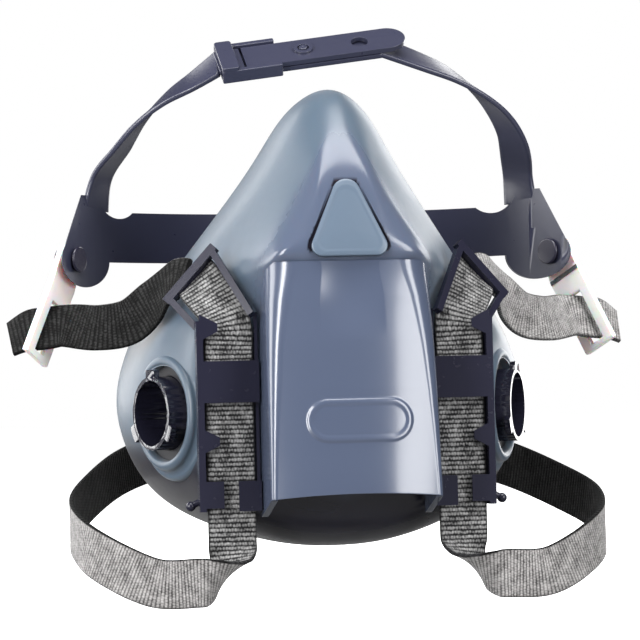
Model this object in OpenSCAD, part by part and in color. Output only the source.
// Half-face respirator with two bayonet ports, a drop-down harness and a head cradle.
// The origin is the centre of the face seal's opening, +Z is up and the front faces -Y.

/* [Face piece] */
// Height of the face seal, chin to nose
seal_h = 142; // [118:1:171]
// Width of the face seal across the cheeks
seal_w = 126; // [105:1:152]
// Depth from the seal line to the cowl
seal_d = 78; // [65:1:94]
// Thickness of the silicone wall
wall = 2.6; // [2:0.1:3.2]

/* [Ports] */
// Outer diameter of a bayonet tube
port_od = 22.4; // [19:0.1:27]
// Wall thickness of a bayonet tube
port_wall = 1.2; // [0.9:0.1:1.6]
// How far a tube stands out of its collar
port_stand = 4; // [3.2:0.1:5]
// Angle of a port away from straight ahead
port_angle = 66; // [58:1:74]

/* [Exhalation] */
// Bore of the exhalation seat
exhale_bore = 27; // [22.5:0.5:29]
// How far a valve lifts off its seat
valve_lift = 1.5; // [1:0.1:1.8]

/* [Webbing] */
// Width of the webbing
strap_w = 14.5; // [12:0.1:16]
// Thickness of the webbing
strap_t = 1.4; // [1.1:0.1:1.7]

/* [Head cradle] */
// Radius of the cradle's back band
cradle_r = 93; // [84:1:104]
// Thickness of the cradle's sheet
cradle_t = 1.8; // [1.4:0.1:2.2]
// Width of the crown band
crown_w = 12; // [10:0.1:14.4]
// Diameter of the cradle's hinge pins
pin_d = 5; // [4:0.1:6]
// Stretch of the upper webbing that lets the cradle move back
cradle_travel = 30; // [10:1:36]

/* [Hidden] */

gap = 0.3;
shaft_gap = 0.08;
sx = seal_w / 126;
sy = seal_d / 78;
sz = seal_h / 142;
fine = 72;

// A point of the nominal face piece, carried along by its three overall sizes.
function at(p) = [p[0] * sx, p[1] * sy, p[2] * sz];
function unit(v) = v / norm(v);
function mirrored(p) = [-p[0], p[1], p[2]];

// Catmull-Rom blend of four neighbours.
function blend4(a, b, c, d, t) =
    ((2 * b) + (c - a) * t + (2 * a - 5 * b + 4 * c - d) * t * t
     + (3 * b - 3 * c + d - a) * t * t * t) / 2;
function along_open(list, u) =
    let (n = len(list) - 1, i = min(floor(u), n - 1), t = u - i)
    blend4(list[max(i - 1, 0)], list[i], list[i + 1], list[min(i + 2, n)], t);
function along_ring(list, u) =
    let (n = len(list), i = floor(u), t = u - i)
    blend4(list[(i + n - 1) % n], list[i % n], list[(i + 1) % n], list[(i + 2) % n], t);

// ---------------------------------------------------------------- face seal
body_tube_r = exhale_bore / 2 + 3.2;
seat_at = [0, -61 * sy, -27 * sz];

// Columns of the half net run from the nose apex round the cheek to the chin.
// Each column runs from the sealing lip, out over the rim and forward to the front wall.
half_net = [
    [[0, -30, 58], [0, -25, 64], [0, -29, 69.5], [0, -40, 71], [0, -52, 68], [0, -61, 59],
     [0, -69, 47], [0, -75, 31], [0, -77.8, 17], [0, -68, 8]],
    [[7, -27, 53.5], [9.5, -22, 59], [12, -26, 63.5], [12, -38, 63.7], [10.5, -50, 61.5], [8.5, -60, 54.5],
     [6.5, -69, 46], [7, -75, 30], [7.5, -77.6, 16.8], [6.5, -68, 7.5]],
    [[15, -17, 40], [19.4, -13, 43], [23, -17, 45.5], [23, -30, 45.7], [21, -45, 45], [17, -58, 42.5],
     [11, -70, 38.5], [13, -75, 27], [15, -77, 16.6], [12, -68, 6]],
    [[33, -6, 17], [38, -3, 18.5], [42.7, -6, 19.2], [42.8, -17, 19], [39.8, -33, 18.6], [33.6, -49.4, 18.2],
     [27.6, -66, 17.8], [25, -71.5, 17], [22, -74.4, 16.2], [19, -67, 5]],
    [[38.5, -4, 7], [44.5, -1.5, 8.5], [50, -4.5, 9.3], [50.2, -15.5, 8.9], [46.5, -31, 8.2], [40, -46.5, 7.2],
     [32.2, -52.6, 6.5], [28.4, -57, 4.5], [25, -60, 0], [20.5, -60.5, -6]],
    [[44.5, -2, -4], [51.5, 0, -3], [57.7, -3, -2], [57.8, -14, -2.5], [55, -30, -3.2], [49.5, -45, -4],
     [43.5, -55.5, -5], [36, -57.5, -7], [28, -58.6, -10], [22, -60, -13]],
    [[48.5, -1, -24], [57, 1, -24], [64, -2, -24], [65, -12, -24], [60.8, -28, -24.5], [52.4, -42.6, -25],
     [44.6, -55, -26], [37, -57.5, -26.5], [28, -58.6, -27], [22, -60, -27]],
    [[44.5, -2, -42], [51.5, 0, -44], [57.7, -3, -46], [58.7, -12, -46.5], [55.5, -27, -46.5], [49.2, -41.5, -46.5],
     [43.2, -54.5, -46.5], [35, -57.5, -45], [26, -58.6, -43], [19, -60, -40]],
    [[33, -4, -53], [39, -2, -56], [43.5, -5, -59.5], [44, -14, -60.5], [42, -28, -60.5], [39, -42, -60],
     [34.5, -53, -58], [27, -56.5, -54], [19, -58.2, -49], [13, -60, -45]],
    [[16, -9, -59.5], [18.5, -7, -64], [20, -10, -67.8], [20, -19, -68.8], [19.5, -31, -68.8], [18, -44, -67.8],
     [15, -54, -63.5], [11, -57, -57], [8, -58.2, -52], [6, -60, -48]],
    [[0, -11, -61.5], [0, -9, -66], [0, -12, -69.7], [0, -21, -70.7], [0, -33, -70.7], [0, -46, -69.2],
     [0, -55, -64.5], [0, -57.5, -58], [0, -58.6, -53], [0, -60, -49]]];
columns = len(half_net);
full_net = [for (k = [0:2 * (columns - 1) - 1])
    k < columns ? half_net[k] : [for (p = half_net[2 * (columns - 1) - k]) mirrored(p)]];
front_turn = [0, 13, 28, 46, 64, 82, 100, 122, 145, 164, 180];
function rim_turn(k) = k < columns ? front_turn[k] : 360 - front_turn[2 * (columns - 1) - k];
rim_r = body_tube_r + 0.05;
net = [for (k = [0:len(full_net) - 1])
    concat([for (p = full_net[k]) at(p)],
           [seat_at + [rim_r * sin(rim_turn(k)), 0, rim_r * cos(rim_turn(k))]])];
around = 52;
forward = 20;
rows = len(net[0]) - 1;
function skin(u, v) = along_ring([for (k = [0:len(net) - 1]) along_open(net[k], v)], u);
skin_grid = [for (j = [0:forward])
    let (v = rows * j / forward, ring = [for (k = [0:len(net) - 1]) along_open(net[k], v)])
    [for (i = [0:around - 1]) along_ring(ring, len(net) * i / around)]];
function grid_normal(g, j, i) =
    let (n = len(g[0]), m = len(g) - 1,
         du = g[j][(i + 1) % n] - g[j][(i + n - 1) % n],
         dv = g[min(j + 1, m)][i] - g[max(j - 1, 0)][i])
    unit(cross(dv, du));
inside_grid = [for (j = [0:forward]) [for (i = [0:around - 1])
    let (n = grid_normal(skin_grid, j, i), edge = j == forward,
         low = skin_grid[j][i] - wall * (edge ? [0, -1, 0] : n))
    low]];

module closed_skin(outer, inner) {
    n = len(outer[0]);
    m = len(outer);
    loop = concat(outer, [for (j = [m - 1:-1:0]) inner[j]]);
    rings = len(loop);
    points = [for (r = loop) for (p = r) p];
    faces = [for (j = [0:rings - 1]) for (i = [0:n - 1])
        let (a = j * n + i, b = j * n + (i + 1) % n,
             c = ((j + 1) % rings) * n + (i + 1) % n, d = ((j + 1) % rings) * n + i)
        each [[a, b, c], [a, c, d]]];
    polyhedron(points = points, faces = faces, convexity = 8);
}

// The space the skin takes up, grown outwards, to trim what sits against it.
module skin_block(grow, first = 8) {
    rings = [for (j = [first:forward]) [for (i = [0:around - 1])
        skin_grid[j][i] + grow * (j == forward ? [0, -1, 0] : grid_normal(skin_grid, j, i))]];
    m = len(rings) - 1;
    middle = [for (j = [0, m]) [for (k = [0:2]) let (list = [for (q = rings[j]) q[k]]) list * [for (q = list) 1] / around]];
    points = concat([for (r = rings) for (q = r) q], middle);
    base = (m + 1) * around;
    faces = concat(
        [for (j = [0:m - 1]) for (i = [0:around - 1])
            let (a = j * around + i, b = j * around + (i + 1) % around,
                 c = (j + 1) * around + (i + 1) % around, d = (j + 1) * around + i)
            each [[a, b, c], [a, c, d]]],
        [for (i = [0:around - 1]) each [[base, (i + 1) % around, i],
            [base + 1, m * around + i, m * around + (i + 1) % around]]]);
    polyhedron(points = points, faces = faces, convexity = 8);
}

// ---------------------------------------------------------------- ports
port_dir = [sin(port_angle), -cos(port_angle), 0];
port_at = [49.4 * sx, -39.6 * sy, -28.3 * sz];
port_r = port_od / 2;
bore_r = port_r - port_wall;
flange_r = port_r + 4.2;
flange_t = 1.6;
lip_r = port_r + 6.4;
boss_r = port_r + 9.8;
tube_in = 9;
stop_z = -tube_in + 2.3 + valve_lift;

// Puts local +Z along the port's axis on the side s, -1 for the wearer's right.
module on_port(s) {
    translate([s * port_at[0], port_at[1], port_at[2]])
        rotate([0, 0, s > 0 ? port_angle - 90 : 270 - port_angle])
            rotate([0, 90, 0])
                children();
}
module ring_of(r_out, r_in, z0, z1) {
    translate([0, 0, z0])
        rotate_extrude($fn = fine)
            translate([r_in, 0])
                square([r_out - r_in, z1 - z0]);
}

module face_seal() {
    color([0.47, 0.55, 0.61])
    difference() {
        union() {
            closed_skin(skin_grid, inside_grid);
            for (s = [-1, 1]) on_port(s) {
                rotate_extrude($fn = 48)
                    polygon([[port_r + gap, -5], [boss_r, -5], [boss_r, 0.4], [boss_r - 0.8, 1.2],
                             [lip_r + 1.2, 1.4], [lip_r, 2], [lip_r, 3.4], [lip_r - 0.9, 4.4],
                             [lip_r - 2.2, 4.4], [lip_r - 3, 3.6], [lip_r - 3, 0], [port_r + gap, 0]]);
            }
        }
        on_badge() badge_outline(gap + 0.2, 4);
        on_seat() {
            translate([0, 0, -0.2]) cylinder(r = body_tube_r + 3.4, h = 9, $fn = 64);
            translate([0, 0, -12]) cylinder(r = body_tube_r + 0.3, h = 20, $fn = 64);
            translate([0, 0, -wall - 8]) cylinder(r = body_tube_r + 3.4, h = 7.8, $fn = 64);
        }
        for (s = [-1, 1]) on_port(s) {
            cylinder(r = lip_r - 3, h = 12, $fn = 48);
            translate([0, 0, -tube_in - 8])
                cylinder(r = port_r + gap, h = 40, $fn = 48);
            translate([0, 0, -tube_in - 8])
                cylinder(r = flange_r + 1, h = tube_in + 8 - 5, $fn = 48);
        }
    }
}

// Bayonet tube with its inner flange, three lugs, the spider that holds a valve and a step
// that stops the mate short of the valve.
module port(s) {
    color([0.10, 0.10, 0.14])
    on_port(s) {
        difference() {
            union() {
                ring_of(port_r, bore_r, -tube_in, 4.4 + port_stand);
                ring_of(flange_r, bore_r, -tube_in, -tube_in + flange_t);
                for (k = [0:2]) rotate([0, 0, 120 * k + 60]) lug();
            }
        }
        rotate_extrude($fn = fine)
            polygon([[bore_r - 1.4, -tube_in], [bore_r + 0.3, -tube_in], [bore_r + 0.3, stop_z],
                     [bore_r - 0.7, stop_z], [bore_r - 0.7, -tube_in + 1.2], [bore_r - 1.4, -tube_in + 1.2]]);
        for (k = [0:2]) rotate([0, 0, 120 * k])
            translate([2, -0.7, -tube_in])
                cube([bore_r - 3, 1.4, 1.2]);
        ring_of(2.6, 1.15, -tube_in, -tube_in + 1.2);
    }
}
module lug() {
    lug_w = 5.2;
    intersection() {
        ring_of(port_r + 2.2, port_r - 0.3, 2.6 + port_stand, 4.4 + port_stand);
        translate([port_r - 2, -lug_w / 2, 0])
            cube([6, lug_w, 30]);
    }
}
module gasket(s) {
    color([0.07, 0.07, 0.08])
    on_port(s)
        ring_of(lip_r - 3.1, port_r + 0.05, 0.05, 1.9);
}
// Thin disc with a stem through the spider; it opens into the mask.
module inhale_valve(s) {
    disc_r = bore_r - 0.9;
    color([0.80, 0.74, 0.55])
    on_port(s) {
        translate([0, 0, -tube_in - 1.05]) cylinder(r = disc_r, h = 1, $fn = fine);
        translate([0, 0, -tube_in - 0.5]) cylinder(r = 1.05, h = 2.1 + valve_lift, $fn = 36);
        translate([0, 0, -tube_in + 1.25 + valve_lift]) cylinder(r = 1.9, h = 0.9, $fn = 36);
    }
}

// ---------------------------------------------------------------- exhalation
module on_seat() {
    translate(seat_at) rotate([90, 0, 0]) children();
}
seat_r = exhale_bore / 2;
module valve_body() {
    color([0.16, 0.15, 0.22])
    on_seat() {
        ring_of(body_tube_r, seat_r, -6, 4.2);
        ring_of(body_tube_r + 3, body_tube_r - 0.5, -0.15, 1.3);
        ring_of(body_tube_r + 3, body_tube_r - 0.5, -wall - 1.8, -wall - 0.25);
        for (k = [0:3]) rotate([0, 0, 90 * k + 45])
            translate([2.6, -0.8, 2.4])
                cube([seat_r - 2.5, 1.6, 1.6]);
        ring_of(3, 1.65, 2.4, 4);
    }
}
module exhale_valve() {
    color([0.80, 0.74, 0.55])
    on_seat() {
        translate([0, 0, 4.25]) cylinder(r = seat_r + 1.8, h = 1.1, $fn = fine);
        translate([0, 0, 2.2 - valve_lift]) cylinder(r = 1.57, h = 2.1 + valve_lift, $fn = 36);
        translate([0, 0, 0.9 - valve_lift]) cylinder(r = 2.3, h = 1.1, $fn = 36);
    }
}

// ---------------------------------------------------------------- cowl
// Levels: height, half width of the front face, half width behind it, front depth, bulge.
cowl_half = 25.7;
cowl_levels = [
    [15.4, 15.5, cowl_half - 1, 76.8, 1.2], [5, 18.2, cowl_half - 0.7, 77.8, 2],
    [-8, 20.5, cowl_half - 0.4, 79.2, 2.8], [-22, 22, cowl_half - 0.2, 80.6, 3.4],
    [-40, 23.4, cowl_half - 0.1, 82, 4.2], [-56, 24.2, cowl_half, 83, 4.8]];
function cowl_row(z) =
    let (n = len(cowl_levels) - 1,
         k = max([for (i = [0:n - 1]) z <= cowl_levels[i][0] ? i : 0]),
         t = (cowl_levels[k][0] - z) / (cowl_levels[k][0] - cowl_levels[k + 1][0]))
    along_open(cowl_levels, min(max(k + t, 0), n));
function half_section(row, inset, back) =
    let (wf = (row[1] - inset * 0.6) * sx, wb = (row[2] - inset) * sx,
         y = -(row[3] - inset) * sy, b = row[4] * sy)
    concat([for (i = [0:6]) let (f = i / 6) [wf * f, y - b * (1 - f * f)]],
           [for (i = [1:5]) let (a = 90 * i / 5)
               [wf + (wb - wf) * sin(a), y + (wb - wf) * 1.15 * (1 - cos(a))]],
           [[wb + 0.3, back]]);
function section(row, inset, back) =
    let (h = half_section(row, inset, back))
    concat([for (i = [len(h) - 1:-1:1]) [-h[i][0], h[i][1]]], h);
module cowl_block(inset, back, top, low, lean) {
    levels = 14;
    sec = [for (j = [0:levels]) let (z = top + (low - top) * j / levels)
        [for (p = section(cowl_row(z), inset, back))
            [p[0], p[1], z * sz + (j == levels ? lean * (p[1] + 84 * sy) : 0)]]];
    n = len(sec[0]);
    points = [for (r = sec) for (p = r) p];
    sides = [for (j = [0:levels - 1]) for (i = [0:n - 1])
        let (a = j * n + i, b = j * n + (i + 1) % n, c = (j + 1) * n + (i + 1) % n, d = (j + 1) * n + i)
        each [[a, b, c], [a, c, d]]];
    caps = [for (i = [1:n - 2]) each [[0, i + 1, i], [levels * n, levels * n + i, levels * n + i + 1]]];
    polyhedron(points = points, faces = concat(sides, caps), convexity = 4);
}
cowl_back = -60.5 * sy;
module cowl() {
    color([0.36, 0.37, 0.48])
    difference() {
        cowl_block(0, cowl_back, 15, -54, -0.26);
        cowl_block(2.2, cowl_back + 6, 12.6, -62, -0.26);
        skin_block(gap + 0.1);
    }
}

// Rounded triangular plate set into the nose ridge, above the cowl.
badge_t = 1.2;
module on_badge() {
    translate([0, -75.6 * sy, 26.5 * sz])
        rotate([90 - atan2(6.2 * sy, 24 * sz), 0, 0])
            children();
}
module badge_outline(grow, t) {
    linear_extrude(t)
        hull() {
            translate([0, 10]) circle(r = 4.2 + grow, $fn = 32);
            for (s = [-1, 1]) translate([s * 8.2, -6.6]) circle(r = 3.2 + grow, $fn = 32);
        }
}
module badge() {
    color([0.52, 0.60, 0.66])
    on_badge() translate([0, 0, 0.05]) badge_outline(0, badge_t);
}

// ---------------------------------------------------------------- strap frames
plate_t = 1.3;
frame_y = -60.6 * sy;
lane_w = strap_w + 1.2;
rail_w = 2;
lane_x = (cowl_half + 0.3) * sx + gap + 0.05 + rail_w / 2 + lane_w / 2;
bridge_y = frame_y - plate_t - strap_t - 1;
loop_mid = at([44.4, -51.5, 13.8]);
loop_dir = unit([0.66, 0.08, -0.74]);
loop_in = -strap_w / 2 - 2;
loop_out = strap_w / 2 + 3;
bar_w = 2.8;
bar_t = 2.4;
module rod(a, b, r) {
    d = b - a;
    translate(a)
        rotate([0, acos(d[2] / norm(d)), atan2(d[1], d[0])])
            cylinder(r = r, h = norm(d), $fn = 28);
}
// The loop lies in a plane through the bar and the top of the lane.
lane_top = [lane_x, frame_y - 1.6, 0];
loop_fall = let (v = lane_top - loop_mid) unit(v - loop_dir * (v * loop_dir));
loop_face = cross(loop_dir, loop_fall);
module on_loop() {
    multmatrix([for (k = [0:2]) [loop_dir[k], loop_fall[k], loop_face[k], loop_mid[k]]])
        children();
}
function in_loop(p) = [(p - loop_mid) * loop_dir, (p - loop_mid) * loop_fall];
module strip(a, b, w) {
    d = b - a;
    translate(a) rotate(atan2(d[1], d[0])) translate([-w / 2, -w / 2]) square([norm(d) + w, w]);
}
module slab(x0, x1, z0, z1, y0, y1) {
    translate([min(x0, x1), min(y0, y1), z0 * sz])
        cube([abs(x1 - x0), abs(y1 - y0), (z1 - z0) * sz]);
}
module tooth(z) {
    translate([lane_x + lane_w / 2 + 0.2, bridge_y, z * sz])
        rotate([90, 0, 0])
            linear_extrude(plate_t)
                polygon([[0.8, -4], [0.8, 4], [-4.6, 1.2], [-4.6, -1.2]]);
}
module strap_frame(s) {
    x_in = lane_x - lane_w / 2;
    x_out = lane_x + lane_w / 2;
    front = bridge_y - plate_t;
    color([0.33, 0.34, 0.45])
    mirror([s < 0 ? 1 : 0, 0, 0]) {
        slab(x_in - rail_w / 2, x_out + rail_w, -58, -6, frame_y, frame_y - plate_t);
        slab(x_out, x_out + rail_w, -58, -1, frame_y, front);
        slab(x_in - rail_w / 2, x_in, -58, 1.5, frame_y, frame_y - plate_t - 1.2);
        slab(x_in - rail_w / 2, x_in, -25.5, -13, frame_y, front);
        slab(x_in - rail_w / 2, x_in, -58, -49, frame_y, front);
        slab(x_in - rail_w / 2, x_out + rail_w, -25.5, -13, bridge_y, front);
        slab(x_in - rail_w / 2, lane_x - 2, -58, -49, bridge_y, front);
        slab(lane_x + 2.5, x_out + rail_w, -57, -49, bridge_y, front);
        tooth(-3);
        tooth(-37);
        on_loop() translate([0, 0, -bar_t / 2]) linear_extrude(bar_t) {
            strip([loop_in, 0], [loop_out, 0], bar_w);
            strip([loop_in, 0], in_loop([x_in - rail_w / 2 + 0.3, frame_y - 1.3, 0]), 2);
            strip([loop_out, 0], in_loop([x_out + 1.4, frame_y - 3, -3.5]), 2);
        }
        rod([x_out + 1, frame_y - 1.2, -54.6 * sz], [x_out + 4, frame_y - 1.2, -56.1 * sz], 1);
        translate([x_out + 4.4, frame_y - 1.2, -56.3 * sz]) sphere(r = 1.5, $fn = 24);
    }
}

// ---------------------------------------------------------------- webbing
// A flat band through stations of [centre, width direction].
module band(stations, w, t, steps = 6) {
    n = len(stations) - 1;
    u = [for (i = [0:n * steps]) i / steps];
    c = [for (x = u) along_open([for (s = stations) s[0]], x)];
    d = [for (x = u) along_open([for (s = stations) s[1]], x)];
    m = len(c) - 1;
    points = [for (i = [0:m])
        let (tan = unit(c[min(i + 1, m)] - c[max(i - 1, 0)]),
             side = unit(d[i] - (d[i] * tan) * tan), up = cross(tan, side))
        each [c[i] + side * w / 2 + up * t / 2, c[i] - side * w / 2 + up * t / 2,
              c[i] - side * w / 2 - up * t / 2, c[i] + side * w / 2 - up * t / 2]];
    faces = concat(
        [for (i = [0:m - 1]) for (k = [0:3])
            let (a = i * 4 + k, b = i * 4 + (k + 1) % 4, e = (i + 1) * 4 + (k + 1) % 4, f = (i + 1) * 4 + k)
            each [[a, e, b], [a, f, e]]],
        [[0, 1, 2], [0, 2, 3], [m * 4, m * 4 + 2, m * 4 + 1], [m * 4, m * 4 + 3, m * 4 + 2]]);
    polyhedron(points = points, faces = faces, convexity = 6);
}
// Stations a to b of a path, starting a small step past station a.
function from_station(path, a, b, step) = [for (i = [a:b])
    i > a ? path[i] : [path[a][0] + step * unit(path[a + 1][0] - path[a][0]), path[a][1]]];
lane_y = frame_y - plate_t - 0.15 - strap_t / 2;
behind_bar = loop_mid + (loop_face[1] > 0 ? 1 : -1) * loop_face * (bar_t / 2 + 0.7 + strap_t / 2);
hook_z = -40 * sz;
nape_y = 46;

// Half a helix that folds the band from straight down to straight outwards.
fold_r = 5.2;
fold_from = [lane_x, lane_y, -67 * sz];
fold_axis = unit([1, 0, -1]);
fold_side = unit([-1, 0, -1]);
function fold(turn) =
    let (out = [0, cos(turn), 0] + fold_side * sin(turn),
         go = unit([0, -sin(turn), 0] + fold_side * cos(turn) + fold_axis))
    [fold_from + fold_r * (out - [0, 1, 0] + fold_axis * turn * PI / 180), cross(out, go)];

// From the loop down the lane, out under the chin and back to the nape.
webbing_path = concat([
    [behind_bar, -loop_dir],
    [at([41.2, -54.2, 9]), [-0.8, 0.05, 0.58]],
    [[lane_x + 0.3, lane_y + 0.8, -1 * sz], [-0.99, 0.02, 0.1]],
    [[lane_x, lane_y, -12 * sz], [-1, 0, 0]],
    [[lane_x, lane_y, -36 * sz], [-1, 0, 0]],
    [[lane_x, lane_y, -57 * sz], [-1, 0, 0]]],
    [for (turn = [0:30:180]) fold(turn)],
    [[at([59, -72.5, -78.3]), [0, 0, 1]],
    [at([71, -67.5, -73]), [0, 0, 1]],
    [at([79.5, -57.5, -66.8]), [0, 0, 1]],
    [at([81.5, -40, -61]), [0, 0, 1]],
    [at([75.5, -19, -55]), [0, 0, 1]],
    [at([62, 9, -47]), [0, 0, 1]],
    [[44 * sx, 31, -42 * sz], [0, 0, 1]],
    [[25, nape_y - 3, hook_z], [0, 0, 1]],
    [[14.3, nape_y, hook_z], [0, 0, 1]]]);
neck_turn = len(webbing_path) - 3;
module webbing(s) {
    color([0.55, 0.54, 0.55])
    mirror([s < 0 ? 1 : 0, 0, 0])
        band([for (i = [0:s < 0 ? neck_turn + 2 : neck_turn]) webbing_path[i]], strap_w, strap_t, 4);
}
// End of the left neck strap, which follows the hook.
module neck_strap_end() {
    color([0.55, 0.54, 0.55])
    band(from_station(webbing_path, neck_turn, neck_turn + 2, 0.6), strap_w, strap_t, 5);
}

module upper_strap(s) {
    color([0.55, 0.54, 0.55])
    mirror([s < 0 ? 1 : 0, 0, 0])
        band([for (i = [0:4]) upper_path[i]], strap_w, strap_t, 6);
}
module strap_tail(s) {
    color([0.55, 0.54, 0.55])
    mirror([s < 0 ? 1 : 0, 0, 0])
        band(from_station(upper_path, 4, 8, 2.1), strap_w, strap_t, 5);
}

// Receiver of the neck fastening, at the nape, and the hook that slides out of it.
clasp_h = strap_w + 3;
module neck_clasp() {
    color([0.14, 0.14, 0.18])
    translate([0, nape_y, hook_z])
        difference() {
            translate([-14, -3.2, -clasp_h / 2]) cube([17, 6.4, clasp_h]);
            translate([-9, -1.3, -clasp_h / 2 + 3]) cube([20, 2.6, clasp_h - 6]);
        }
}
module neck_hook() {
    color([0.14, 0.14, 0.18])
    translate([0, nape_y, hook_z]) {
        translate([-8, -1, -clasp_h / 2 + 3.4]) cube([12, 2, clasp_h - 6.8]);
        translate([3.4, -2.8, -clasp_h / 2]) cube([10.6, 5.6, clasp_h]);
    }
}

// ---------------------------------------------------------------- cradle
cradle_half = 58;
pin_turn = cradle_half - 3.2;
cradle_mid_y = -8 - cradle_r * cos(pin_turn);
pin_z = 20.5;
pin_at = [cradle_r * sin(pin_turn), cradle_mid_y + cradle_r * cos(pin_turn), pin_z];
// Local +Z leaves the arm along the pin, and local +X points down.
module on_pin(s) {
    mirror([s < 0 ? 1 : 0, 0, 0])
        translate(pin_at)
            rotate([0, 0, 90 - pin_turn])
                rotate([0, 90, 0])
                    children();
}
arm_x = cradle_r * sin(cradle_half);
band_low = 20;
band_high = 36;
module cradle_front() {
    difference() {
        union() {
            translate([-arm_x + 8, band_low]) square([2 * arm_x - 16, band_high - band_low]);
            for (s = [-1, 1]) {
                translate([s * (arm_x - 6), 20.2]) circle(r = 8.3, $fn = 48);
                polygon([[s * (arm_x + 2.2), 21.5], [s * (arm_x - 19), 21.5], [s * (arm_x - 17), 35],
                         [s * (arm_x - 15), 41], [s * (arm_x - 5), 41], [s * (arm_x - 2), 33]]);
            }
        }
        for (s = [-1, 1]) translate([s * (arm_x - 18), 40.4]) circle(r = 6.4, $fn = 48);
    }
}
module cradle() {
    color([0.20, 0.19, 0.27])
    difference() {
        intersection() {
            translate([0, cradle_mid_y, 0])
                rotate_extrude(angle = 180, $fn = 180)
                    translate([cradle_r, 0]) square([cradle_t, 60]);
            translate([0, 150, 0]) rotate([90, 0, 0]) linear_extrude(300) cradle_front();
        }
        for (s = [-1, 1]) on_pin(s)
            translate([0, 0, -4]) cylinder(r = pin_d / 2 + shaft_gap, h = 10, $fn = 48);
    }
}
clip_t = 2;
clip_lift = cradle_t + 0.4;
module cradle_pins() {
    color([0.08, 0.08, 0.10])
    for (s = [-1, 1]) on_pin(s) {
        translate([0, 0, -1.5]) cylinder(r = pin_d / 2 + 1.6, h = 1.1, $fn = 48);
        translate([0, 0, -1]) cylinder(r = pin_d / 2, h = clip_lift + clip_t + 1.6, $fn = 48);
        translate([0, 0, clip_lift + clip_t + 0.35]) cylinder(r = pin_d / 2 + 1.4, h = 1.5, $fn = 48);
    }
}

// Translucent clip that hangs on a cradle pin and holds the end of the upper webbing.
clip_swing = 26;
clip_reach = 24;
clip_w = 13;
slot_h = strap_w + 2.2;
slot_w = 5.4;
clip_bend = 8;
module strap_clip(s) {
    color([0.90, 0.90, 0.88])
    on_pin(s) rotate([0, 0, -clip_swing]) {
        difference() {
            translate([0, 0, clip_lift]) {
                hull() {
                    cylinder(r = 5.6, h = clip_t, $fn = 48);
                    translate([7, -clip_w / 2, 0]) cube([1, clip_w, clip_t]);
                }
                translate([8, 0, 0]) rotate([0, -clip_bend, 0])
                    translate([0, -clip_w / 2, 0]) cube([clip_reach - 8 + slot_h / 2 + 2.4, clip_w, clip_t]);
            }
            translate([0, 0, -1]) cylinder(r = pin_d / 2 + shaft_gap, h = 12, $fn = 48);
            translate([clip_reach - slot_h / 2, -slot_w / 2, -5]) cube([slot_h, slot_w, 25]);
        }
    }
}
// Point and directions of the slot, in the row's frame, for the wearer's left clip.
pin_out = [sin(pin_turn), cos(pin_turn), 0];
pin_back = [-cos(pin_turn), sin(pin_turn), 0];
clip_down = [0, 0, -1] * cos(clip_swing) - pin_back * sin(clip_swing);
slot_mid = pin_at + clip_down * clip_reach + pin_out * (clip_lift + clip_t / 2 + (clip_reach - 8) * sin(clip_bend));
function slot_side(d) = slot_mid + d * unit([0.93, 0.32, -0.1]);
tail_from = slot_mid + [-15.49, -11.03, -0.33];
strap_rise = at([55.5, -34.5, 5.5]);
upper_path = [
    [behind_bar + 4.4 * unit(at([50, -41.5, 11.5]) - behind_bar), -loop_dir],
    [at([50, -41.5, 11.5]), [-0.42, -0.1, 0.9]],
    [strap_rise, [-0.12, 0, 1]],
    [(strap_rise + tail_from) / 2 + [-1.25, 0, -2.05], [-0.02, 0.1, 1]],
    [tail_from, [-0.15, 0.2, 0.95]],
    [slot_side(-7), -clip_down],
    [slot_side(0), -clip_down],
    [slot_side(5.5), -clip_down],
    [slot_side(11.5) + [0, 0, -2], -clip_down + [0.1, 0.35, 0]]];

// ---------------------------------------------------------------- crown band
crown_t = 1.6;
crown_at = [-5, -26, 82.6];
crown_lean = 36.6;
crown_tilt = 7.3;
tongue_z = 0.35;
hinge_x = -19;
tongue_end = 32.5;
crown_end = 24;
stud_r = 1.35;
hole_pitch = 18;
module on_crown() {
    translate(crown_at) rotate([crown_lean, -crown_tilt, 0]) children();
}
function crown_dir(v) =
    let (y = v[1] * cos(crown_lean) - v[2] * sin(crown_lean),
         z = v[1] * sin(crown_lean) + v[2] * cos(crown_lean))
    [v[0] * cos(crown_tilt) - z * sin(crown_tilt), y, v[0] * sin(crown_tilt) + z * cos(crown_tilt)];
function crown_pt(v) = crown_at + crown_dir(v);
crown_side = crown_dir([0, 1, 0]);
buckle_in = crown_w / 2 + 0.4;
buckle_out = buckle_in + 1.9;
arm_mid = arm_x - 9.9;
arm_y = cradle_mid_y + sqrt(pow(cradle_r + cradle_t / 2, 2) - arm_mid * arm_mid);
arm_side = unit([-(arm_y - cradle_mid_y), arm_mid, 0]);
right_path = [
    [[-arm_mid, arm_y, 41.5], [-arm_side[0], arm_side[1], 0]],
    [[-arm_mid + 2.2, arm_y - 1.2, 47], [0.56, 0.83, 0.04]],
    [[-61, -8, 55.5], [0.48, 0.87, 0.1]],
    [[-55.3, -13, 63.2], [0.36, 0.9, 0.22]],
    [[-48, -17, 69.8], [0.24, 0.89, 0.36]],
    [[-40, -20.5, 74.8], [0.1, 0.86, 0.5]],
    [crown_pt([-27, 0, tongue_z + crown_t / 2]), crown_side]];
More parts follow.
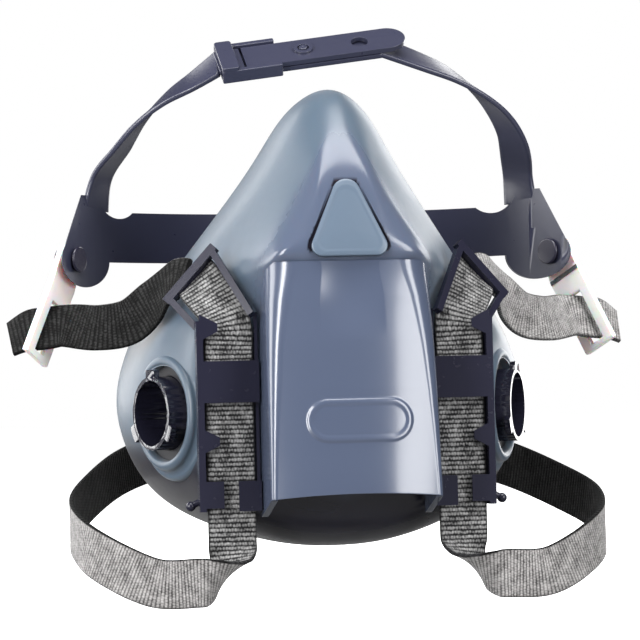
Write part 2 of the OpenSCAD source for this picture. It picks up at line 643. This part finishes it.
left_path = [
    [[arm_mid, arm_y, 41.5], arm_side],
    [[arm_mid - 1, arm_y - 1.2, 47], [-0.56, 0.83, 0.04]],
    [[65, -8, 56], [-0.5, 0.86, 0.1]],
    [[59.8, -13, 64], [-0.42, 0.87, 0.2]],
    [[52.6, -17, 70.6], [-0.32, 0.87, 0.35]],
    [[43, -20.5, 76.4], [-0.22, 0.84, 0.48]],
    [[32, -23.5, 80.6], [-0.14, 0.81, 0.56]],
    [crown_pt([crown_end, 0, -crown_t / 2]) + [0.1, 0, 0.1], crown_side]];
module crown_plate(x0, x1, z) {
    translate([x0, -crown_w / 2, z]) cube([x1 - x0, crown_w, crown_t]);
}
module crown_band_right() {
    color([0.20, 0.19, 0.27]) {
        band(right_path, crown_w, crown_t, 5);
        on_crown() crown_plate(-27.3, hinge_x - 0.6, tongue_z);
    }
}
module crown_band_left() {
    color([0.20, 0.19, 0.27]) {
        band(left_path, crown_w, crown_t, 5);
        on_crown() {
            difference() {
                union() {
                    crown_plate(-27, crown_end + 0.2, -crown_t);
                    for (s = [-1, 1]) translate([-27, s > 0 ? buckle_in - 0.6 : -buckle_out, -crown_t])
                        cube([19, buckle_out - buckle_in + 0.6, crown_t + 2.6]);
                }
                translate([-28, -buckle_in, 0]) cube([30, 2 * buckle_in, 8]);
            }
            translate([-27, -buckle_out, tongue_z + crown_t + 0.35]) cube([5.4, 2 * buckle_out, 1.5]);
            translate([0, 0, -0.2]) cylinder(r = stud_r, h = tongue_z + crown_t + 1, $fn = 36);
        }
    }
}
module crown_tongue() {
    color([0.20, 0.19, 0.27])
    on_crown()
        difference() {
            union() {
                crown_plate(hinge_x + 0.1, tongue_end - crown_w / 2, tongue_z);
                translate([tongue_end - crown_w / 2, 0, tongue_z]) cylinder(r = crown_w / 2, h = crown_t, $fn = 64);
                translate([0, 0, tongue_z]) cylinder(r = 3.1, h = crown_t + 0.8, $fn = 48);
            }
            translate([0, 0, -1]) cylinder(r = stud_r + 0.45, h = 8, $fn = 36);
            translate([hole_pitch, 0, -1]) cylinder(r = 2.7, h = 8, $fn = 48);
        }
}

face_seal();
valve_body();
exhale_valve();
cowl();
badge();
port(-1);  // port_right
port(1);  // port_left
gasket(-1);  // gasket_right
gasket(1);  // gasket_left
inhale_valve(-1);  // inhale_valve_right
inhale_valve(1);  // inhale_valve_left
strap_frame(-1);  // strap_frame_right
strap_frame(1);  // strap_frame_left
webbing(-1);  // webbing_right
webbing(1);  // webbing_left
upper_strap(-1);  // upper_strap_right
upper_strap(1);  // upper_strap_left
strap_tail(-1);  // strap_tail_right
strap_tail(1);  // strap_tail_left
strap_clip(-1);  // strap_clip_right
strap_clip(1);  // strap_clip_left
cradle();
cradle_pins();
crown_band_right();
crown_band_left();
crown_tongue();
neck_clasp();
neck_strap_end();
neck_hook();
